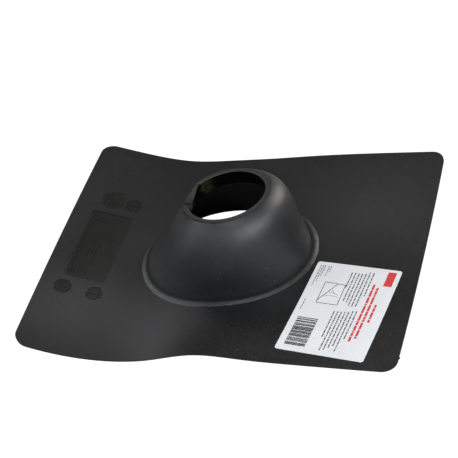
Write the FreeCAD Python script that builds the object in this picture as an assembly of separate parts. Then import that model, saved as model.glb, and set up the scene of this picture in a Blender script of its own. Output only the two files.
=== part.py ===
"""Pipe flashing boot: one moulded rubber sheet with a domed pipe collar, and its paper label.

Millimetres. The sheet lies on z = 0 as it would on a floor: +X points up the roof slope,
+Y is the back edge, -Y the front edge. The origin is the middle of the sheet's box, at floor level.
The sheet has taken a set from its packing, so it isn't flat: one end curls up and the front
edge has a crest beside the dome.
"""
import FreeCAD, Part
import math
import os

V = FreeCAD.Vector

# ---- sheet ----
SHEET_LENGTH = 419.0          # 16.5 in, along X
SHEET_WIDTH = 317.5           # 12.5 in, along Y
SHEET_THICK = 2.0
CORNER_RADIUS = 15.0
FRONT_SHIFT = 3.5             # the trimmed front edge sits this far towards +X of the back edge
OVERSIZE = 1.03               # the warped surface reaches past the trimmed outline

# Set of the moulded sheet: how far its underside stands off the floor, at stations along the
# length (shares of it, from the down-slope end) in three rows.
STATIONS = (-0.5, -0.37, -0.24, -0.12, 0.0, 0.12, 0.3, 0.5)
FRONT_RISE = (26.5, 7.0, 0.0, 5.0, 17.0, 13.5, 8.0, 4.5)
MIDDLE_RISE = (32.5, 10.0, 0.0, 1.5, 1.5, 2.5, 2.0, 0.0)
BACK_RISE = (32.0, 13.5, 0.5, 0.5, 3.0, 6.5, 9.5, 11.0)

# ---- dome ----
DOME_X = -8.75                # middle of the dome's base
DOME_Y = 0.0
BEAD_LENGTH = 209.0           # outside of the swelled bead round the base, along X
BEAD_BREADTH = 173.0          # and along Y
BEAD_WIDTH = 15.0             # with the hollow flanks that run it into the sheet
BEAD_HEIGHT = 2.4             # above the sheet
BEAD_SINK = 0.4               # the flanks' feet end this far inside the sheet
BEAD_ROOT = 1.3               # and the bead's root this far, less than the sheet's thickness
BEAD_SECTIONS = 24
FOOT_INSET = 9.5              # the dome's wall stands this far inside the bead's outside
WALL = 3.0

# ---- collar ----
PIPE_BORE = 85.0              # stretches over a 3 in drain pipe, 88.9 mm outside
COLLAR_X = 12.5               # middle of the collar
COLLAR_TOP = 92.75            # height of the rim's middle above the lowest point of the sheet
RISE_UP_SLOPE = 1.4           # degrees, the rim's +X side stands higher
RISE_TO_FRONT = 5.5           # degrees, the rim's -Y side stands higher
COLLAR_FACE = 5.0             # width of the rim's flat face
COLLAR_STEP = 0.8             # ledge round the outside of the rim
COLLAR_STEP_DEPTH = 1.2
LIP_DEPTH = 3.5               # the lip that grips the pipe, down from the rim
LIP_EDGE = 0.5                # its bevelled upper edge
NECK_RELIEF = 0.6             # the neck below the lip is this much wider all round
COLLAR_DEPTH = 16.0           # from the rim to where the thinner dome wall starts
DIP_WIDTH = 48.0              # dip where the rim is pressed down, on the down-slope side
DIP_DEPTH = 12.5
DIP_ANGLE = 177.0             # its direction seen from the collar's middle

# How the dome closes from its base (1) to the collar (0), at shares of its height,
# towards the down-slope end, the up-slope end and each side.
DOME_LEVELS = (0.25, 0.5, 0.75, 0.9)
DOWN_FULLNESS = (0.79, 0.48, 0.22, 0.06)
UP_FULLNESS = (0.88, 0.73, 0.64, 0.44)
SIDE_FULLNESS = (0.93, 0.87, 0.60, 0.31)

# ---- recesses near the down-slope end ----
RECESS_DEPTH = 0.6
PANEL_INSET = 43.5            # the panel's middle, in from the sheet's down-slope end
PANEL_Y = -1.0
PANEL_LENGTH = 103.0          # along Y
PANEL_WIDTH = 46.0            # along X
PANEL_RADIUS = 6.0
DIAL_DIAMETER = 19.0          # round mould inserts that mark the date
DIAL_PLACES = ((25.5, -69.0), (61.0, -69.0), (60.5, 70.0))   # inset, Y
DIAL_POINTER = (11.0, 1.4)    # raised bar across the dial: length, width
DIAL_TICK = (2.2, 0.8)        # raised ticks round the dial: length, width
DIAL_TICKS = 12
SHIELD_INSET = 36.5           # D-shaped insert
SHIELD_Y = 71.5
SHIELD_LENGTH = 25.0
SHIELD_WIDTH = 27.0

# ---- label ----
LABEL_END_INSET = 72.0        # the label's middle, in from the sheet's up-slope end
LABEL_FRONT_INSET = 79.0      # and in from its front edge
LABEL_LENGTH = 130.0          # along Y
LABEL_WIDTH = 94.5            # along X
LABEL_RADIUS = 3.0
LABEL_TURN = -6.5             # degrees
LABEL_THICK = 0.3

# ---- worked out from the above ----
CLEAR = 40.0                  # how far cutting tools reach past what they cut
BORE_RADIUS = PIPE_BORE / 2
RIM_RADIUS = BORE_RADIUS + COLLAR_FACE
SHOULDER_RADIUS = RIM_RADIUS + COLLAR_STEP
DOME_TOP = COLLAR_TOP - COLLAR_STEP_DEPTH
NECK_RADIUS = BORE_RADIUS + NECK_RELIEF
FOOT_HALF_LENGTH = BEAD_LENGTH / 2 - FOOT_INSET
FOOT_HALF_BREADTH = BEAD_BREADTH / 2 - FOOT_INSET
DOWN_SLOPE_END = -SHEET_LENGTH / 2


def row_curve(rise):
    """Curve through one row of station heights, with its X running evenly along it."""
    length = SHEET_LENGTH * OVERSIZE
    points = [V(share * length, 0, height) for share, height in zip(STATIONS, rise)]
    curve = Part.BSplineCurve()
    curve.interpolate(Points=points, Parameters=[share + 0.5 for share in STATIONS])
    return curve


def sheet_surface():
    """Smooth surface of the sheet's underside: a parabola across it joins the three rows."""
    half = SHEET_WIDTH * OVERSIZE / 2
    crown = [2 * m - (f + b) / 2 for f, m, b in zip(FRONT_RISE, MIDDLE_RISE, BACK_RISE)]
    curves = [row_curve(rise) for rise in (FRONT_RISE, crown, BACK_RISE)]
    rows = [[pole + V(0, y, 0) for pole in curve.getPoles()]
            for curve, y in zip(curves, (-half, 0, half))]
    surface = Part.BSplineSurface()
    surface.buildFromPolesMultsKnots(list(zip(*rows)), curves[0].getMultiplicities(), [3, 3],
                                     curves[0].getKnots(), [0, 1], False, False, 3, 2)
    return surface


SURFACE = sheet_surface()
UNDERSIDE = SURFACE.toShape()


def raised(height, depth):
    """Layer that follows the sheet: from `height` above its underside, `depth` thick."""
    face = UNDERSIDE.translated(V(0, 0, height))
    return face.extrude(V(0, 0, depth))


def sheet_height(x, y):
    """Height of the underside at a place on the plan."""
    column = Part.makeLine(V(x, y, -CLEAR), V(x, y, SHEET_WIDTH))
    hits = UNDERSIDE.section(column).Vertexes
    return hits[0].Point.z


def prism(wire):
    """Upright prism through the whole part, over a wire drawn on the plan."""
    face = Part.Face(wire)
    face.translate(V(0, 0, -CLEAR))
    return face.extrude(V(0, 0, COLLAR_TOP + 2 * CLEAR))


def rounded_polygon(corners, radius):
    """Closed wire through the corners, each rounded to the same radius."""
    edges = []
    ends = []
    count = len(corners)
    for i, corner in enumerate(corners):
        before = (corners[i - 1] - corner).normalize()
        after = (corners[(i + 1) % count] - corner).normalize()
        half = before.getAngle(after) / 2
        reach = radius / math.tan(half)
        middle = corner + (before + after).normalize() * (radius / math.sin(half) - radius)
        start = corner + before * reach
        end = corner + after * reach
        ends.append((start, end))
        edges.append(Part.Arc(start, middle, end).toShape())
    sides = [Part.makeLine(ends[i - 1][1], ends[i][0]) for i in range(count)]
    ordered = [edge for pair in zip(sides, edges) for edge in pair]
    return Part.Wire(ordered)


def rectangle(length, width, radius):
    """Rounded rectangle about the origin: `width` along X, `length` along Y."""
    x, y = width / 2, length / 2
    return rounded_polygon([V(-x, -y, 0), V(x, -y, 0), V(x, y, 0), V(-x, y, 0)], radius)


def sheet_outline():
    x, y, shift = SHEET_LENGTH / 2, SHEET_WIDTH / 2, FRONT_SHIFT / 2
    corners = [V(-x + shift, -y, 0), V(x + shift, -y, 0), V(x - shift, y, 0), V(-x - shift, y, 0)]
    return rounded_polygon(corners, CORNER_RADIUS)


def lean(shape, share):
    """Tilt a shape about the origin by a share of the rim's tilt."""
    shape.rotate(V(0, 0, 0), V(0, 1, 0), -RISE_UP_SLOPE * share)
    shape.rotate(V(0, 0, 0), V(1, 0, 0), -RISE_TO_FRONT * share)
    return shape


def oval(x_low, x_high, half_breadth, z, share):
    """Ellipse between two X values, tilted through its middle by a share of the rim's tilt."""
    ring = Part.Circle(V(0, 0, 0), V(0, 0, 1), 1).toShape()
    matrix = FreeCAD.Matrix()
    matrix.scale((x_high - x_low) / 2, half_breadth, 1)
    ring = lean(ring.transformGeometry(matrix), share)
    ring.translate(V((x_low + x_high) / 2, DOME_Y, z))
    return Part.Wire([ring])


def dome_profile():
    """Levels of the dome: share of height, reach down slope, up slope and sideways."""
    low_rim = COLLAR_X - SHOULDER_RADIUS
    high_rim = COLLAR_X + SHOULDER_RADIUS
    low_foot = DOME_X - FOOT_HALF_LENGTH
    high_foot = DOME_X + FOOT_HALF_LENGTH
    levels = [(0.0, 1.0, 1.0, 1.0)]
    levels += list(zip(DOME_LEVELS, DOWN_FULLNESS, UP_FULLNESS, SIDE_FULLNESS))
    levels += [(1.0, 0.0, 0.0, 0.0)]
    return [(share,
             low_rim + (low_foot - low_rim) * down,
             high_rim + (high_foot - high_rim) * up,
             SHOULDER_RADIUS + (FOOT_HALF_BREADTH - SHOULDER_RADIUS) * side)
            for share, down, up, side in levels]


def wall_offset(levels, index, column):
    """Horizontal thickness that gives the wall its true thickness where it slopes."""
    first = levels[max(index - 1, 0)]
    last = levels[min(index + 1, len(levels) - 1)]
    slope = (last[column] - first[column]) / ((last[0] - first[0]) * DOME_TOP)
    return WALL * math.hypot(1, slope)


def dome_outside():
    sections = [oval(low, high, side, share * DOME_TOP, share)
                for share, low, high, side in dome_profile()]
    return Part.makeLoft(sections, True)


def dome_inside():
    """Hollow under the dome: the outside moved in by the wall, up to the collar."""
    levels = dome_profile()
    ceiling = COLLAR_TOP - COLLAR_DEPTH
    sections = []
    for i, (share, low, high, side) in enumerate(levels):
        if share * DOME_TOP < ceiling - WALL:
            sections.append(oval(low + wall_offset(levels, i, 1), high - wall_offset(levels, i, 2),
                                 side - wall_offset(levels, i, 3), share * DOME_TOP, share))
    below = Part.Face(sections[0]).extrude(V(0, 0, -CLEAR))
    sections.append(oval(COLLAR_X - NECK_RADIUS, COLLAR_X + NECK_RADIUS, NECK_RADIUS, ceiling, 1))
    return Part.makeLoft(sections, True), below


def on_collar(shape):
    """Place a shape that is drawn about the rim's middle."""
    shape = lean(shape, 1)
    shape.translate(V(COLLAR_X, DOME_Y, COLLAR_TOP))
    return shape


def swell(width, rise):
    """Hump across Y in one smooth curve: a hollow flank, a round crown and a hollow flank."""
    w = width / 2
    foot, crown = 0.75 * w, 1.5 * rise
    poles = [V(0, -w, 0), V(0, -foot, 0), V(0, 0, crown), V(0, foot, 0), V(0, w, 0)]
    curve = Part.BSplineCurve()
    curve.buildFromPolesMultsKnots(poles, [3, 1, 1, 3], [0, 1, 3, 4], False, 2)
    return curve.toShape()


def rim_dip():
    """Tool that takes away what stands above the pressed-down stretch of the rim."""
    w = DIP_WIDTH / 2
    top = Part.makePolygon([V(0, w, 0), V(0, w, CLEAR), V(0, -w, CLEAR), V(0, -w, 0)])
    outline = Part.Wire([swell(DIP_WIDTH, -DIP_DEPTH)] + top.Edges)
    tool = Part.Face(outline).extrude(V(RIM_RADIUS * 2, 0, 0))
    tool.rotate(V(0, 0, 0), V(0, 0, 1), DIP_ANGLE)
    return on_collar(tool)


def base_bead():
    """Bead swelling out of the warped sheet round the foot of the dome."""
    w = BEAD_WIDTH / 2
    a, b = BEAD_LENGTH / 2 - w, BEAD_BREADTH / 2 - w
    root = BEAD_SINK - BEAD_ROOT
    sides = Part.makePolygon([V(0, w, 0), V(0, w, root), V(0, -w, root), V(0, -w, 0)])
    profile = Part.Wire([swell(BEAD_WIDTH, BEAD_HEIGHT + BEAD_SINK)] + sides.Edges)
    rings = []
    for i in range(BEAD_SECTIONS):
        angle = 2 * math.pi * (i + 0.5) / BEAD_SECTIONS   # its seam stays off the dome's
        middle = V(DOME_X + a * math.cos(angle), DOME_Y + b * math.sin(angle), 0)
        outward = V(b * math.cos(angle), a * math.sin(angle), 0).normalize()
        inner, outer = middle - outward * w, middle + outward * w
        low, high = sheet_height(inner.x, inner.y), sheet_height(outer.x, outer.y)
        ring = profile.copy()
        ring.rotate(V(0, 0, 0), V(1, 0, 0), math.degrees(math.atan2(high - low, BEAD_WIDTH)))
        ring.rotate(V(0, 0, 0), V(0, 0, 1), math.degrees(math.atan2(outward.y, outward.x)) - 90)
        ring.translate(middle + V(0, 0, (low + high) / 2 + SHEET_THICK - BEAD_SINK))
        rings.append(ring)
    return Part.makeLoft(rings, True, False, True)


def bar(length, width):
    """Upright prism over a plain bar about the origin, along Y."""
    x, y = width / 2, length / 2
    return prism(Part.makePolygon([V(-x, -y, 0), V(x, -y, 0), V(x, y, 0), V(-x, y, 0), V(-x, -y, 0)]))


def dial(inset, y):
    """Round insert: a shallow recess with a raised pointer and ticks left standing in it."""
    well = prism(Part.Wire([Part.Circle(V(0, 0, 0), V(0, 0, 1), DIAL_DIAMETER / 2).toShape()]))
    pointer = bar(*DIAL_POINTER)
    pointer.rotate(V(0, 0, 0), V(0, 0, 1), 90)
    standing = [pointer]
    for i in range(DIAL_TICKS):
        tick = bar(*DIAL_TICK)
        tick.translate(V(0, DIAL_DIAMETER / 2 - DIAL_TICK[0], 0))
        tick.rotate(V(0, 0, 0), V(0, 0, 1), 360.0 * i / DIAL_TICKS)
        standing.append(tick)
    tool = well.cut(standing)
    tool.translate(V(DOWN_SLOPE_END + inset, y, 0))
    return tool


def shield():
    """D-shaped insert: straight on its +X side, round on the other."""
    x, y = SHIELD_LENGTH / 2, SHIELD_WIDTH / 2
    flat = Part.makeLine(V(x, -y, 0), V(x, y, 0))
    back = Part.makeLine(V(x, y, 0), V(0, y, 0))
    nose = Part.Arc(V(0, y, 0), V(-x, 0, 0), V(0, -y, 0)).toShape()
    front = Part.makeLine(V(0, -y, 0), V(x, -y, 0))
    tool = prism(Part.Wire([flat, back, nose, front]))
    tool.translate(V(DOWN_SLOPE_END + SHIELD_INSET, SHIELD_Y, 0))
    return tool


def recesses():
    """Shallow sunk areas in the sheet's top face, all to one depth."""
    panel = prism(rectangle(PANEL_LENGTH, PANEL_WIDTH, PANEL_RADIUS))
    panel.translate(V(DOWN_SLOPE_END + PANEL_INSET, PANEL_Y, 0))
    tools = [panel, shield()] + [dial(inset, y) for inset, y in DIAL_PLACES]
    layer = raised(SHEET_THICK - RECESS_DEPTH, CLEAR)
    return [layer.common(tool) for tool in tools]


def flashing_boot():
    slab = raised(0, SHEET_THICK).common(prism(sheet_outline()))
    above = raised(SHEET_THICK / 2, COLLAR_TOP + CLEAR)
    band = on_collar(Part.makeCylinder(RIM_RADIUS, 2 * COLLAR_STEP_DEPTH,
                                       V(0, 0, -2 * COLLAR_STEP_DEPTH)))
    boot = slab.fuse(dome_outside().common(above)).fuse(base_bead()).fuse(band)
    hollow, below = dome_inside()
    bore = on_collar(Part.makeCylinder(BORE_RADIUS, 2 * CLEAR, V(0, 0, -CLEAR)))
    lead_in = on_collar(Part.makeCone(BORE_RADIUS, BORE_RADIUS + 2 * LIP_EDGE, 2 * LIP_EDGE,
                                      V(0, 0, -LIP_EDGE)))
    under_lip = LIP_DEPTH + NECK_RELIEF
    shoulder = on_collar(Part.makeCone(NECK_RADIUS, BORE_RADIUS, NECK_RELIEF, V(0, 0, -under_lip)))
    neck = on_collar(Part.makeCylinder(NECK_RADIUS, COLLAR_DEPTH - under_lip, V(0, 0, -COLLAR_DEPTH)))
    for tool in [hollow, below, bore, lead_in, neck, shoulder, rim_dip()] + recesses():
        boot = boot.cut(tool)
    return boot


def label():
    outline = prism(rectangle(LABEL_LENGTH, LABEL_WIDTH, LABEL_RADIUS))
    outline.rotate(V(0, 0, 0), V(0, 0, 1), LABEL_TURN)
    outline.translate(V(SHEET_LENGTH / 2 - LABEL_END_INSET, LABEL_FRONT_INSET - SHEET_WIDTH / 2, 0))
    return raised(SHEET_THICK, LABEL_THICK).common(outline)


def main():
    os.makedirs("parts", exist_ok=True)
    shapes = {"flashing_boot": flashing_boot(), "paper_label": label()}
    drop = -shapes["flashing_boot"].optimalBoundingBox(False).ZMin
    print("lifted by", round(drop, 4))
    for name, shape in shapes.items():
        shape.translate(V(0, 0, drop))
        solid = shape.Solids[0]
        box = solid.optimalBoundingBox(False)
        print(name, "solids", len(shape.Solids), "valid", shape.isValid(),
              "volume", round(shape.Volume), "faces", len(shape.Faces),
              "box", [round(v, 2) for v in (box.XMin, box.XMax, box.YMin, box.YMax, box.ZMin, box.ZMax)])
        solid.exportStep("parts/" + name + ".step")


main()
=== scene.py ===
"""Looks of a moulded rubber pipe flashing boot: grained black rubber, dust, and a printed paper label.

Metres, in the frame's own axes: +X points up the roof slope and the front edge is at -Y. The layouts
of the print and of the moulded marks are in millimetres.
"""

import math
import random

import bmesh
import bpy
from mathutils import Matrix, Vector
from mathutils.bvhtree import BVHTree


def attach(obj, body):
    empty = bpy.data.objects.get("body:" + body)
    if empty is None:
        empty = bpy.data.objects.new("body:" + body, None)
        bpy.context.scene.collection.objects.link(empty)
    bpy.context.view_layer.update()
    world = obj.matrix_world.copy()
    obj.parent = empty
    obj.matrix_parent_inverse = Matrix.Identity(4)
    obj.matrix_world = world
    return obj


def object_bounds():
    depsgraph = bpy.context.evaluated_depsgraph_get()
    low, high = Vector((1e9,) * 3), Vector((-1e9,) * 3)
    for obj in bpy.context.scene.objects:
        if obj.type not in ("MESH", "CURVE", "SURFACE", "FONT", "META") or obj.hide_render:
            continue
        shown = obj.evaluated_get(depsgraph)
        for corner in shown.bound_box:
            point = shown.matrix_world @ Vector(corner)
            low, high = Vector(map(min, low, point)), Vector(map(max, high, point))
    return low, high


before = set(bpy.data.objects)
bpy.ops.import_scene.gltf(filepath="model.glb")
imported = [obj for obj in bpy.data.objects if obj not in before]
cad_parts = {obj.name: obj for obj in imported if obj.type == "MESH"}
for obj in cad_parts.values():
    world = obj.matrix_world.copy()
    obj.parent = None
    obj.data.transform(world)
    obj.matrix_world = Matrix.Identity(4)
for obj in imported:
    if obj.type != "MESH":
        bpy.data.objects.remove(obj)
cad_low, cad_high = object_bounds()
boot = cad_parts["flashing_boot"]
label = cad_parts["paper_label"]
MM = 0.001
DOWN = Vector((0, 0, -1))
ABOVE_ALL = 0.2               # height from which things are dropped onto a surface


# ---------------------------------------------------------------- nodes
class Nodes:
    """Short way to build a node tree."""

    def __init__(self, tree, place):
        self.tree = tree
        self.place = self.add("ShaderNodeTexCoord").outputs[place]

    def add(self, kind, **settings):
        node = self.tree.nodes.new(kind)
        for key, value in settings.items():
            setattr(node, key, value)
        return node

    def feed(self, socket, value):
        if isinstance(value, bpy.types.NodeSocket):
            self.tree.links.new(value, socket)
        else:
            socket.default_value = value

    def math(self, operation, *values):
        node = self.add("ShaderNodeMath", operation=operation)
        for socket, value in zip(node.inputs, values):
            self.feed(socket, value)
        return node.outputs[0]

    def product(self, first, *others):
        for other in others:
            first = self.math("MULTIPLY", first, other)
        return first

    def noise(self, scale, detail=2.0, rough=0.5):
        node = self.add("ShaderNodeTexNoise")
        self.feed(node.inputs["Vector"], self.place)
        self.feed(node.inputs["Scale"], scale)
        self.feed(node.inputs["Detail"], detail)
        self.feed(node.inputs["Roughness"], rough)
        return node.outputs["Fac"]

    def cells(self, scale):
        node = self.add("ShaderNodeTexVoronoi")
        self.feed(node.inputs["Vector"], self.place)
        self.feed(node.inputs["Scale"], scale)
        return node

    def ramp(self, value, low, high, at_low=0.0, at_high=1.0, curve="LINEAR"):
        node = self.add("ShaderNodeMapRange", interpolation_type=curve)
        for name, number in (("Value", value), ("From Min", low), ("From Max", high),
                             ("To Min", at_low), ("To Max", at_high)):
            self.feed(node.inputs[name], number)
        return node.outputs[0]

    def blend(self, share, first, second):
        node = self.add("ShaderNodeMix", data_type="RGBA")
        self.feed(node.inputs["Factor"], share)
        for socket, color in ((node.inputs[6], first), (node.inputs[7], second)):
            self.feed(socket, color if isinstance(color, bpy.types.NodeSocket) else (*color, 1))
        return node.outputs[2]

    def axes(self, place=None):
        node = self.add("ShaderNodeSeparateXYZ")
        self.feed(node.inputs[0], place or self.place)
        return node.outputs

    def bump(self, height, strength, distance, below=None):
        node = self.add("ShaderNodeBump")
        self.feed(node.inputs["Height"], height)
        self.feed(node.inputs["Strength"], strength)
        self.feed(node.inputs["Distance"], distance)
        if below:
            self.feed(node.inputs["Normal"], below)
        return node.outputs[0]


class Finish(Nodes):
    """A material of its own, with its pattern on the object's coordinates."""

    def __init__(self, name):
        self.material = bpy.data.materials.new(name)
        self.material.use_nodes = True
        super().__init__(self.material.node_tree, "Object")
        self.shader = self.tree.nodes["Principled BSDF"]

    def set(self, socket, value):
        self.feed(self.shader.inputs[socket], value)


# ---------------------------------------------------------------- camera, floor and lights
CAMERA_PLACE = (0.5445, -0.9641, 0.9759)
CAMERA_ELEVATION = math.radians(40.15)
CAMERA_AZIMUTH = math.radians(29.38)
CAMERA_ROLL = math.radians(-19.46)
LENS = 105.0
SENSOR = 36.0
FLOOR_SIZE = 8
FLOOR_GAP = 0.0003            # the floor lies this far under the sheet's lowest point
FLOOR_SHADE = 0.25            # what it bounces
FLOOR_GLOW = 1.1              # what it shows
AIM = (0, 0, 0.04)            # every light looks at the dome
COOL, NEUTRAL, WARM = (0.93, 0.98, 1.06), (1.0, 1.0, 1.0), (1.03, 1.0, 0.95)
LIGHTS = (                    # name, place, size, power, tint
    ("front_window", (0.71, -1.24, 0.73), (0.7, 0.7), 11, COOL),
    ("right_window", (1.40, -0.25, 0.73), (0.6, 0.6), 13, COOL),
    ("corner_window", (1.18, -0.82, 0.62), (0.6, 0.6), 13, COOL),
    ("left_window", (-1.34, -0.49, 0.73), (0.7, 0.7), 8, COOL),
    ("left_front", (-0.49, -1.34, 0.80), (0.6, 0.6), 6, COOL),
    ("left_back", (-1.38, 0.37, 0.73), (0.9, 0.7), 6, NEUTRAL),
    ("high_back", (-0.44, 0.75, 1.34), (0.8, 0.8), 2.0, WARM),
    ("overhead", (0.15, -0.45, 1.5), (0.8, 0.5), 10, NEUTRAL),
    ("right_back", (1.12, 1.12, 0.62), (0.4, 0.35), 7, WARM),
    ("shoulder_strip", (0.78, 1.34, 0.45), (0.4, 0.3), 12, WARM))
WORLD_RISE = (0.1, 0.85, 0.02, 0.16)          # height of the direction and strength, low to high
WORLD_DIM = (((-0.05, 1.0, 0.6), 0.75, 0.96, 0.3),)      # direction, from and to its cosine, what is left


def add_camera():
    data = bpy.data.cameras.new("camera")
    data.lens = LENS
    data.sensor_width = SENSOR
    camera = bpy.data.objects.new("camera", data)
    bpy.context.scene.collection.objects.link(camera)
    turn = (Matrix.Rotation(CAMERA_AZIMUTH, 4, "Z")
            @ Matrix.Rotation(math.pi / 2 - CAMERA_ELEVATION, 4, "X")
            @ Matrix.Rotation(CAMERA_ROLL, 4, "Z"))
    camera.matrix_world = Matrix.Translation(CAMERA_PLACE) @ turn
    bpy.context.scene.camera = camera


def add_floor():
    """White sweep: it glows to the eye, so that it stays white, and only bounces a little light."""
    bpy.ops.mesh.primitive_plane_add(size=FLOOR_SIZE, location=(0, 0, cad_low[2] - FLOOR_GAP))
    floor = bpy.context.object
    floor.name = "floor"
    white = Finish("floor_white")
    white.set("Base Color", (FLOOR_SHADE, FLOOR_SHADE, FLOOR_SHADE, 1))
    white.set("Roughness", 1.0)
    glow = white.add("ShaderNodeEmission")
    white.feed(glow.inputs["Strength"], FLOOR_GLOW)
    mix = white.add("ShaderNodeMixShader")
    white.feed(mix.inputs["Fac"], white.add("ShaderNodeLightPath").outputs["Is Camera Ray"])
    white.feed(mix.inputs[1], white.shader.outputs[0])
    white.feed(mix.inputs[2], glow.outputs[0])
    white.feed(white.tree.nodes["Material Output"].inputs["Surface"], mix.outputs[0])
    floor.data.materials.append(white.material)


def area_light(name, place, size, power, tint):
    data = bpy.data.lights.new(name, "AREA")
    data.shape = "RECTANGLE"
    data.size, data.size_y = size
    data.energy = power
    data.color = tint
    light = bpy.data.objects.new(name, data)
    bpy.context.scene.collection.objects.link(light)
    light.location = place
    light.rotation_euler = (Vector(place) - Vector(AIM)).to_track_quat("Z", "Y").to_euler()


def add_world():
    """Studio round the object: pale above, dim near the floor and behind."""
    world = bpy.data.worlds.new("studio")
    bpy.context.scene.world = world
    world.use_nodes = True
    n = Nodes(world.node_tree, "Generated")
    strength = n.ramp(n.axes()["Z"], *WORLD_RISE, curve="SMOOTHSTEP")
    for towards, low, high, least in WORLD_DIM:
        dot = n.add("ShaderNodeVectorMath", operation="DOT_PRODUCT")
        n.feed(dot.inputs[0], n.place)
        n.feed(dot.inputs[1], Vector(towards).normalized())
        strength = n.product(strength, n.ramp(dot.outputs["Value"], low, high, 1.0, least, "SMOOTHSTEP"))
    n.feed(n.tree.nodes["Background"].inputs["Strength"], strength)


bpy.context.scene.view_settings.view_transform = "Standard"
add_camera()
add_floor()
for light in LIGHTS:
    area_light(*light)
add_world()


# ---------------------------------------------------------------- rubber
SOFT = 0.0002                 # width of a mask's soft edge, each way
SHEET_TOP = 0.036             # the sheet lies wholly below this height
PANEL = ((-0.166, -0.001), (0.023, 0.0515))              # middle and half sides of the moulded panel
WELLS = (                     # round inserts: middle and radius
    ((-0.184, -0.069), 0.0095), ((-0.1485, -0.069), 0.0095), ((-0.149, 0.070), 0.0095),
    ((-0.173, 0.0715), 0.0128))
RIM_MIDDLE = (0.0125, 0.0, 0.09324)
RIM_SLOPE = (0.0246, -0.0963)                            # rise of the rim's plane along X and Y
RIM_BAND = (0.0428, 0.0476)                              # the rim's flat face, inner and outer radius
RIM_DEPTH = (0.0006, 0.0010)                             # the face ends between these depths
RIM_HIGHLIGHT_SHARE = 0.55                # how far the painted highlight lightens the rim's flat face
THROAT_RADIUS = 0.0440
THROAT_DEPTH = (0.0006, 0.0012)                          # the throat starts between these depths
THROAT_FOOT = 0.012           # and it ends at this height
STREAK_X = (-0.028, -0.012)                              # the painted reflection streaks fade out between these
STREAK_Z = (0.055, 0.082)                                # and fade in between these heights
SCRATCH = ((-0.1666, -0.0760), 0.0203)                   # curved scratch: centre and radius
SCRATCH_HALF = (0.00012, 0.0004)                         # half width, and where it fades out
SCRATCH_END_Y = -0.0835       # the arc shows where Y is below this and X below its centre's
LIT_PATCHES = (                     # painted light: paler patches where the sheet catches light; middle, reach each way, strength
    ((-0.140, -0.095), (0.100, 0.065), 0.48),
    ((-0.050, -0.120), (0.060, 0.055), 0.50),
    ((0.140, 0.070), (0.110, 0.085), 0.30),
    ((-0.120, 0.020), (0.060, 0.060), 0.12))
SLEEK = (                     # smoother patches: middle, reach each way, roughness taken off
    ((0.055, -0.130), (0.085, 0.055), 0.18),
    ((-0.120, -0.150), (0.100, 0.030), 0.12),
    ((0.150, -0.060), (0.070, 0.090), 0.10))
DUST = (                      # specks: cells to the metre, share that has one, size, strength
    (260.0, 0.12, 0.16, 0.45),
    (620.0, 0.16, 0.24, 0.40))
LIT_PATCH_EDGE, LIT_PATCH_RAGGED = (0.2, 1.15), 0.15            # where a painted light patch fades out, and how unevenly
SLEEK_EDGE = (0.5, 1.2)
GRAIN = (1300.0, 3.0, 0.65)   # noise of the moulded grain: scale, detail, roughness
CLOUDS = (9.0, 3.0, 0.55)     # of the uneven tone, and of the ragged edges of the painted light patches
MOTTLE = (420.0, 2.0, 0.7)
STREAKS = (60.0, 3.0, 0.6)
DRIFT = (35.0,)               # of the bands in which dust has gathered
NOISE_SPAN = (0.3, 0.7)       # a noise stays mostly between these
CLOUD_SPAN = (0.3, 0.75)
MOTTLE_SPAN = (0.5, 0.8)
STREAK_SPAN = (0.42, 0.62)
DRIFT_SPAN = (0.4, 0.62)
LEAST_DUST = 0.2              # share of the specks' strength outside those bands
MOTTLE_SHARE, RECESS_SHADE_SHARE = 0.5, 0.75                   # how far each tints what is under it; the recess tint is painted shade
CLOUD_ROUGH, MOTTLE_ROUGH = 0.04, 0.05                   # roughness that each adds or takes
RECESS_SLEEK, THROAT_DULL, SCRATCH_DULL = 0.10, 0.35, 0.3
THROAT_METAL = 0.97           # keeps the throat from shining back
SCRATCH_BUMP = (-0.6, 0.0003)                            # strength and distance
GRAIN_BUMP = (0.42, 0.0005)
PLAIN_RUBBER = (1.0, 0.47)    # shade and roughness
MARKS_RUBBER = (1.4, 0.42)    # the raised marks are a little paler and smoother

DEEP_BLACK, WORN_BLACK = (0.0018, 0.0018, 0.0020), (0.0036, 0.0037, 0.0040)
# painted light on the sheet's paler patches
PAINTED_LIGHT_GREY = (0.034, 0.033, 0.034)
MOTTLE_GREY = (0.014, 0.014, 0.0145)
# painted shade in the sunk panel and the round inserts
RECESS_SHADE_BLACK = (0.0012, 0.0012, 0.0012)
DUST_TAN = (0.19, 0.18, 0.16)
SCRATCH_BLACK = (0.0008, 0.0008, 0.0008)
# painted shade in the throat, and the painted reflection of its streaks
THROAT_SHADE_BLACK, THROAT_REFLECTION_BROWN = (0.0006, 0.0006, 0.0006), (0.060, 0.044, 0.024)
# painted highlight on the rim's flat face
RIM_HIGHLIGHT_GREY = (0.034, 0.033, 0.033)


def distance_on_plan(n, middle, reach=(1.0, 1.0)):
    """Distance from a point, seen from above, in shares of a reach each way."""
    x, y = n.axes()[:2]
    across = n.math("DIVIDE", n.math("SUBTRACT", x, middle[0]), reach[0])
    along = n.math("DIVIDE", n.math("SUBTRACT", y, middle[1]), reach[1])
    return n.math("SQRT", n.math("ADD", n.product(across, across), n.product(along, along)))


def disc(n, middle, radius):
    return n.ramp(distance_on_plan(n, middle), radius - SOFT, radius + SOFT, 1.0, 0.0)


def plate(n, middle, half):
    x, y = n.axes()[:2]
    out = [n.math("SUBTRACT", n.math("ABSOLUTE", n.math("SUBTRACT", axis, place)), reach)
           for axis, place, reach in zip((x, y), middle, half)]
    return n.ramp(n.math("MAXIMUM", *out), -SOFT, SOFT, 1.0, 0.0)


def on_sheet(n):
    return n.math("LESS_THAN", n.axes()[2], SHEET_TOP)


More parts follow.
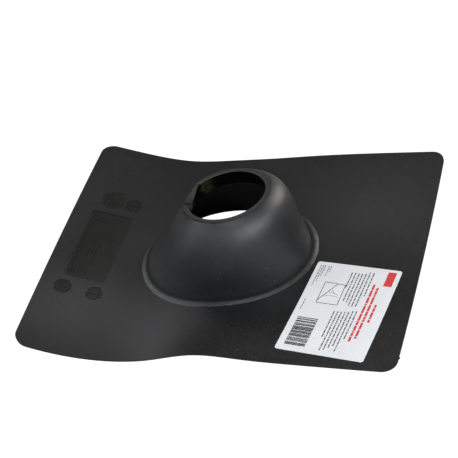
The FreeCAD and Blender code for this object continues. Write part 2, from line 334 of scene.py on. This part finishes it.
def below_rim(n):
    """Depth of a point below the plane of the rim."""
    x, y, z = n.axes()[:3]
    plane = n.math("ADD", n.product(n.math("SUBTRACT", x, RIM_MIDDLE[0]), RIM_SLOPE[0]),
                   n.product(n.math("SUBTRACT", y, RIM_MIDDLE[1]), RIM_SLOPE[1]))
    return n.math("SUBTRACT", n.math("ADD", plane, RIM_MIDDLE[2]), z)


def recesses(n):
    """The sunk panel and the round inserts beside it."""
    mask = plate(n, *PANEL)
    for well in WELLS:
        mask = n.math("MAXIMUM", mask, disc(n, *well))
    return mask


def throat(n, depth):
    """The collar's bore and the dome's inside below it."""
    return n.product(disc(n, RIM_MIDDLE, THROAT_RADIUS),
                     n.product(n.ramp(depth, *THROAT_DEPTH), n.math("GREATER_THAN", n.axes()[2], THROAT_FOOT)))


def painted_throat_shade(n):
    """Painted shade, near black, with painted brown reflection streaks down its down-slope side."""
    left = n.product(n.ramp(n.axes()[0], *STREAK_X, 1.0, 0.0), n.ramp(n.axes()[2], *STREAK_Z))
    return n.blend(n.product(left, n.ramp(n.noise(*STREAKS), *STREAK_SPAN)), THROAT_SHADE_BLACK, THROAT_REFLECTION_BROWN)


def rim_face(n, depth):
    """The flat ring round the collar's mouth."""
    off_middle = distance_on_plan(n, RIM_MIDDLE)
    inner, outer = RIM_BAND
    return n.product(n.ramp(off_middle, inner - SOFT, inner), n.ramp(off_middle, outer - SOFT, outer, 1.0, 0.0),
                     n.ramp(depth, *RIM_DEPTH, 1.0, 0.0))


def scratch_line(n):
    centre, radius = SCRATCH
    off_ring = n.math("ABSOLUTE", n.math("SUBTRACT", distance_on_plan(n, centre), radius))
    line = n.ramp(off_ring, *SCRATCH_HALF, 1.0, 0.0)
    for axis, limit in zip(n.axes()[:2], (centre[0], SCRATCH_END_Y)):
        line = n.product(line, n.math("LESS_THAN", axis, limit))
    return line


def specks(n, scale, share, size):
    """Small round specks: a share of the cells has one, of random size."""
    cell = n.cells(scale)
    reach = n.ramp(n.axes(cell.outputs["Color"])[0], 1.0 - share, 1.0, 0.0, size)
    return n.math("LESS_THAN", cell.outputs["Distance"], reach)


def rubber(name, shade, rough):
    """Black rubber: fine moulded grain, uneven tone, dust specks and a curved scratch, with painted light
    patches on the sheet, painted shade in the recesses and the throat, painted reflection streaks in the throat
    and a painted highlight on the rim's face.
    """
    n = Finish(name)
    grain, clouds, mottle = n.noise(*GRAIN), n.noise(*CLOUDS), n.noise(*MOTTLE)
    recess, scratch, depth = recesses(n), scratch_line(n), below_rim(n)
    inside = throat(n, depth)

    color = n.blend(n.ramp(clouds, *CLOUD_SPAN), tuple(shade * v for v in DEEP_BLACK),
                    tuple(shade * v for v in WORN_BLACK))
    # painted light: paler patches where the sheet catches light
    for middle, reach, strength in LIT_PATCHES:
        ragged = n.math("ADD", distance_on_plan(n, middle, reach),
                        n.ramp(clouds, *NOISE_SPAN, -LIT_PATCH_RAGGED, LIT_PATCH_RAGGED))
        color = n.blend(n.product(n.ramp(ragged, *LIT_PATCH_EDGE, strength, 0.0), on_sheet(n)), color, PAINTED_LIGHT_GREY)
    color = n.blend(n.ramp(mottle, *MOTTLE_SPAN, 0.0, MOTTLE_SHARE), color, MOTTLE_GREY)
    # painted shade: the sunk panel and the inserts darker
    color = n.blend(n.product(recess, RECESS_SHADE_SHARE), color, RECESS_SHADE_BLACK)
    drift = n.ramp(n.noise(*DRIFT), *DRIFT_SPAN, LEAST_DUST, 1.0)
    for scale, share, size, strength in DUST:
        color = n.blend(n.product(specks(n, scale, share, size), n.product(drift, strength)), color, DUST_TAN)
    color = n.blend(scratch, color, SCRATCH_BLACK)
    # painted shade over the throat, with painted reflection streaks
    color = n.blend(inside, color, painted_throat_shade(n))
    # painted highlight on the rim's flat face
    color = n.blend(n.product(rim_face(n, depth), RIM_HIGHLIGHT_SHARE), color, RIM_HIGHLIGHT_GREY)
    n.set("Base Color", color)
    n.set("Metallic", n.product(inside, THROAT_METAL))

    gloss = n.math("ADD", n.ramp(clouds, *NOISE_SPAN, rough - CLOUD_ROUGH, rough + CLOUD_ROUGH),
                   n.ramp(mottle, *NOISE_SPAN, -MOTTLE_ROUGH, MOTTLE_ROUGH))
    gloss = n.math("SUBTRACT", gloss, n.product(recess, RECESS_SLEEK))
    gloss = n.math("ADD", gloss, n.product(inside, THROAT_DULL))
    for middle, reach, less in SLEEK:
        patch = n.ramp(distance_on_plan(n, middle, reach), *SLEEK_EDGE, less, 0.0)
        gloss = n.math("SUBTRACT", gloss, n.product(patch, on_sheet(n)))
    n.set("Roughness", n.math("ADD", gloss, n.product(scratch, SCRATCH_DULL)))
    n.set("Normal", n.bump(scratch, *SCRATCH_BUMP, n.bump(grain, *GRAIN_BUMP)))
    return n.material


# ---------------------------------------------------------------- paper and ink
PAPER_SHADES = ((0.455, 0.458, 0.456), (0.485, 0.487, 0.485))
PAPER_CLOUDS = (30.0,)
PAPER_ROUGHNESS = (0.42, 0.55)
FIBRE = (700.0, 3.0, 0.6)
FIBRE_BUMP = (0.15, 0.0001)
INK_COVER, INK_SPAN = (900.0, 2.0, 0.6), (0.35, 0.75)
INK_GAIN, INK_LIFT = 1.1, 0.012                          # thin ink is this much paler
INK_ROUGHNESS = 0.5
INKS = {                      # what each piece of print is printed in
    "label_print_red": ("red_ink", (0.38, 0.022, 0.024)),
    "label_print_small": ("grey_ink", (0.06, 0.06, 0.062)),
    "label_print_sketch": ("sketch_ink", (0.018, 0.018, 0.018)),
    "label_print_bars": ("bar_ink", (0.008, 0.008, 0.009))}


def label_paper():
    """Coated white paper with a faint fibre."""
    n = Finish("label_paper")
    fibre = n.noise(*FIBRE)
    n.set("Base Color", n.blend(n.ramp(n.noise(*PAPER_CLOUDS), *NOISE_SPAN), *PAPER_SHADES))
    n.set("Roughness", n.ramp(fibre, *NOISE_SPAN, *PAPER_ROUGHNESS))
    n.set("Normal", n.bump(fibre, *FIBRE_BUMP))
    return n.material


def ink(name, color):
    """Printing ink, a little uneven where it covers the paper."""
    n = Finish(name)
    thin = tuple(value * INK_GAIN + INK_LIFT for value in color)
    n.set("Base Color", n.blend(n.ramp(n.noise(*INK_COVER), *INK_SPAN), color, thin))
    n.set("Roughness", INK_ROUGHNESS)
    return n.material


# ---------------------------------------------------------------- flat shapes laid on a surface
STEP = 6.0                    # longest unsupported run of a laid shape, mm
LETTER_GAP = (0.6, 1.1)       # between the dashes of a row
SHORTEST = 1.6                # dash
LEAST_REST = 0.8              # a shorter rest of a row stays bare


def surface_of(node):
    mesh = node.data
    return BVHTree.FromPolygons([v.co.copy() for v in mesh.vertices],
                                [tuple(p.vertices) for p in mesh.polygons])


def height_at(surface, x, y):
    return surface.ray_cast(Vector((x, y, ABOVE_ALL)), DOWN)[0].z


def add_piece(name, bm, material):
    """Turn a bmesh into a piece that rides on the part's only body."""
    mesh = bpy.data.meshes.new(name)
    bm.to_mesh(mesh)
    bm.free()
    piece = bpy.data.objects.new(name, mesh)
    bpy.context.scene.collection.objects.link(piece)
    piece.data.materials.append(material)
    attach(piece, "root")


class Print:
    """Flat shapes drawn in millimetres in their own plane, then laid on the surface."""

    def __init__(self, middle=(0, 0), turn=0.0):
        self.bm = bmesh.new()
        self.matrix = Matrix.Translation((*middle, 0)) @ Matrix.Rotation(turn, 4, "Z") @ Matrix.Scale(MM, 4)

    def bar(self, x, y, width, length, turn=0.0):
        """Rectangle about (x, y): width along x, length along y."""
        across = max(1, math.ceil(width / STEP))
        along = max(1, math.ceil(length / STEP))
        place = (self.matrix @ Matrix.Translation((x, y, 0)) @ Matrix.Rotation(turn, 4, "Z")
                 @ Matrix.Diagonal((width / 2, length / 2, 1, 1)))
        bmesh.ops.create_grid(self.bm, x_segments=across, y_segments=along, size=1, matrix=place)

    def line(self, start, end, width):
        """Straight stroke from one point to another."""
        a, b = Vector(start), Vector(end)
        middle, run = (a + b) / 2, b - a
        self.bar(middle.x, middle.y, width, run.length, math.atan2(run.y, run.x) - math.pi / 2)

    def outline(self, corners, width):
        for i, corner in enumerate(corners):
            self.line(corner, corners[(i + 1) % len(corners)], width)

    def words(self, x, start, end, width, seed, longest):
        """Row of word-like dashes along -y, as unreadable small print."""
        draw = random.Random(seed)
        y = start
        while y > end + LEAST_REST:
            length = min(draw.uniform(SHORTEST, longest), y - end)
            self.bar(x, y - length / 2, width, length)
            y -= length + draw.uniform(*LETTER_GAP)

    def lay(self, name, material, surface, lift, thick):
        """Drop the shapes onto the surface, and give them their thickness."""
        for vertex in self.bm.verts:
            vertex.co.z = height_at(surface, vertex.co.x, vertex.co.y) + lift
        bmesh.ops.recalc_face_normals(self.bm, faces=self.bm.faces)
        for face in self.bm.faces:
            if face.normal.z < 0:
                face.normal_flip()
        bmesh.ops.solidify(self.bm, geom=self.bm.faces, thickness=-thick)
        add_piece(name, self.bm, material)


# ---------------------------------------------------------------- the label's print
LABEL_MIDDLE = Vector((0.1375, -0.07975))
LABEL_TURN = math.radians(-6.5)
PRINT_LIFT = 0.00002
PRINT_THICK = 0.00004

HEADING_BLOCK = (37.8, 51.2, 9.0, 20.5)                  # plain field: middle, width and length
HEADINGS = ((34.6, 14.0, -12.5, 3), (29.0, 37.5, -35.5, 4), (24.0, 41.5, -40.5, 5))   # row, its ends, seed
HEADING_WIDTH, HEADING_LONGEST = 2.5, 11.0

FIRST_COLUMN = ((18.4, 57.5, 23.5), (14.3, 58.0, 7.5), (10.4, 55.5, 7.0), (6.6, 54.5, 7.5),
                (2.8, 54.5, 11.5), (-1.0, 54.8, 12.5), (-4.8, 54.5, 31.0))
SECOND_COLUMN = ((18.2, 1.5, -39.0), (14.3, 1.0, -56.5), (10.4, -1.0, -50.0), (6.6, -1.5, -53.0),
                 (2.8, -2.0, -57.0), (-1.0, -2.3, -58.5), (-4.8, -2.6, -40.0))
FOOT_LINES = ((-42.0, 60.0, 29.0), (-39.6, 60.2, 36.0), (-37.2, 60.3, 42.0), (-32.6, 60.2, 44.5),
              (-30.2, 60.0, 49.0), (-41.5, 9.0, -7.0))
TEXT_BLOCKS = (               # rows, each with its ends; first seed, width, longest dash
    (FIRST_COLUMN, 20, 1.35, 6.0),
    (SECOND_COLUMN, 40, 1.35, 6.0),
    (FOOT_LINES, 60, 0.9, 4.5))

SKETCH_BOX, SKETCH_BOX_WIDTH = ((-29.0, 36.5), (-6.0, 35.5), (-5.3, 6.1), (-28.6, 6.2)), 0.7
SKETCH_LINES = (              # roof's edge, then the shingles: ends and width
    ((-28.6, 10.0), (-14.5, 35.8), 0.7),
    ((-21.0, 23.5), (-9.0, 20.0), 0.4),
    ((-18.5, 27.5), (-13.5, 21.5), 0.4),
    ((-25.0, 16.0), (-18.0, 18.5), 0.4),
    ((-18.0, 18.5), (-8.5, 17.0), 0.4))

BARS_X, BARS_HEIGHT = -28.5, 22.5
BARS_START, BARS_END = -16.8, -56.5
BARS_SEED = 11
BAR_WIDTHS = (0.4, 0.4, 0.8, 1.2, 1.6)
BAR_GAPS = (0.35, 0.35, 0.7, 1.05)


def draw_headings(print_):
    print_.bar(*HEADING_BLOCK)
    for x, start, end, seed in HEADINGS:
        print_.words(x, start, end, HEADING_WIDTH, seed, HEADING_LONGEST)


def draw_small_text(print_):
    for rows, first_seed, width, longest in TEXT_BLOCKS:
        for i, (x, start, end) in enumerate(rows):
            print_.words(x, start, end, width, first_seed + i, longest)


def draw_sketch(print_):
    print_.outline(SKETCH_BOX, SKETCH_BOX_WIDTH)
    for start, end, width in SKETCH_LINES:
        print_.line(start, end, width)


def draw_bars(print_):
    draw = random.Random(BARS_SEED)
    y = BARS_START
    while y > BARS_END:
        width = draw.choice(BAR_WIDTHS)
        print_.bar(BARS_X, y - width / 2, BARS_HEIGHT, width)
        y -= width + draw.choice(BAR_GAPS)


def print_label(surface):
    """Generic print: red heading lines, two columns of small grey words, a roof sketch and a bar code."""
    for name, draw in (("label_print_red", draw_headings), ("label_print_small", draw_small_text),
                       ("label_print_sketch", draw_sketch), ("label_print_bars", draw_bars)):
        print_ = Print(LABEL_MIDDLE, LABEL_TURN)
        draw(print_)
        print_.lay(name, ink(*INKS[name]), surface, PRINT_LIFT, PRINT_THICK)


# ---------------------------------------------------------------- moulded marks
MARK_HEIGHT = 0.00035
MARK_SINK = 0.00005
RULES = (                     # strokes: ends and width
    ((-182.8, 45.5), (-182.8, -46.0), 0.9),
    ((-180.5, 46.5), (-178.2, 36.2), 0.8),
    ((-178.2, 36.2), (-166.5, 36.2), 0.8))
BOX, BOX_WIDTH = ((-157.2, 11.5), (-149.6, 11.5), (-149.6, -9.0), (-157.2, -9.0)), 0.7
BOX_STROKES_X, BOX_STROKES_Y = (-155.3, -151.5), (7.5, 4.2, 0.9, -2.4, -5.7)
BOX_STROKE_FALL, BOX_STROKE_WIDTH = 0.8, 1.0
PANEL_WORDS = ((-175.5, 24.0, -26.0, 1), (-171.2, 14.0, -14.0, 2), (-167.0, 23.0, -30.0, 3),
               (-162.5, 26.0, 8.0, 4), (-186.3, 30.0, -30.0, 5))          # row, its ends, seed
CORNER_ROWS, CORNER_ENDS = (-184.0, -180.4, -176.8, -173.2, -169.6), (-35.5, -46.5)
SHIELD_WORDS = ((-181.0, 78.0, 64.0), (-177.0, 80.0, 63.0), (-173.0, 80.5, 62.5), (-169.0, 79.0, 64.0))
PANEL_DASH, CORNER_DASH, SHIELD_DASH = (1.5, 3.0), (1.1, 3.2), (1.2, 4.0)      # width and longest


def mould_marks(surface, material):
    """Raised generic marks in the moulded panel and the D-shaped insert: rules, a box and rows of dashes."""
    marks = Print()
    for start, end, width in RULES:
        marks.line(start, end, width)
    marks.outline(BOX, BOX_WIDTH)
    for y in BOX_STROKES_Y:
        marks.line((BOX_STROKES_X[0], y), (BOX_STROKES_X[1], y - BOX_STROKE_FALL), BOX_STROKE_WIDTH)
    for x, start, end, seed in PANEL_WORDS:
        marks.words(x, start, end, PANEL_DASH[0], seed, PANEL_DASH[1])
    for x in CORNER_ROWS:
        marks.words(x, *CORNER_ENDS, CORNER_DASH[0], int(-x), CORNER_DASH[1])
    for x, start, end in SHIELD_WORDS:
        marks.words(x, start, end, SHIELD_DASH[0], int(-x), SHIELD_DASH[1])
    marks.lay("mould_marks", material, surface, -MARK_SINK, MARK_HEIGHT)


# ---------------------------------------------------------------- trimming burr
BURR_PLACE = (0.2112, -0.1396)
BURR_SIZE = (0.0013, 0.0017, 0.0007)
BURR_INSET = 0.002            # the sheet's top is felt this far in from the burr
BURR_DROP = 0.0009            # the burr's middle lies this far under it
BURR_SEED = 7
BURR_RAGGED = (0.8, 1.15)


def trim_burr(surface, material):
    """Ragged scrap that the trimming knife left on the up-slope edge."""
    edge = height_at(surface, BURR_PLACE[0] - BURR_INSET, BURR_PLACE[1])
    bm = bmesh.new()
    bmesh.ops.create_icosphere(bm, subdivisions=3, radius=1.0)
    draw = random.Random(BURR_SEED)
    for vertex in bm.verts:
        vertex.co *= draw.uniform(*BURR_RAGGED)
    bmesh.ops.smooth_vert(bm, verts=bm.verts, factor=0.3, use_axis_x=True, use_axis_y=True, use_axis_z=True)
    bmesh.ops.scale(bm, vec=BURR_SIZE, verts=bm.verts)
    bmesh.ops.translate(bm, vec=(*BURR_PLACE, edge - BURR_DROP), verts=bm.verts)
    add_piece("trim_burr", bm, material)


# ---------------------------------------------------------------- the object
black_rubber = rubber("black_rubber", *PLAIN_RUBBER)
for node, material in ((boot, black_rubber), (label, label_paper())):
    node.data.materials.clear()
    node.data.materials.append(material)
boot_surface = surface_of(boot)
mould_marks(boot_surface, rubber("marks_rubber", *MARKS_RUBBER))
trim_burr(boot_surface, black_rubber)
print_label(surface_of(label))
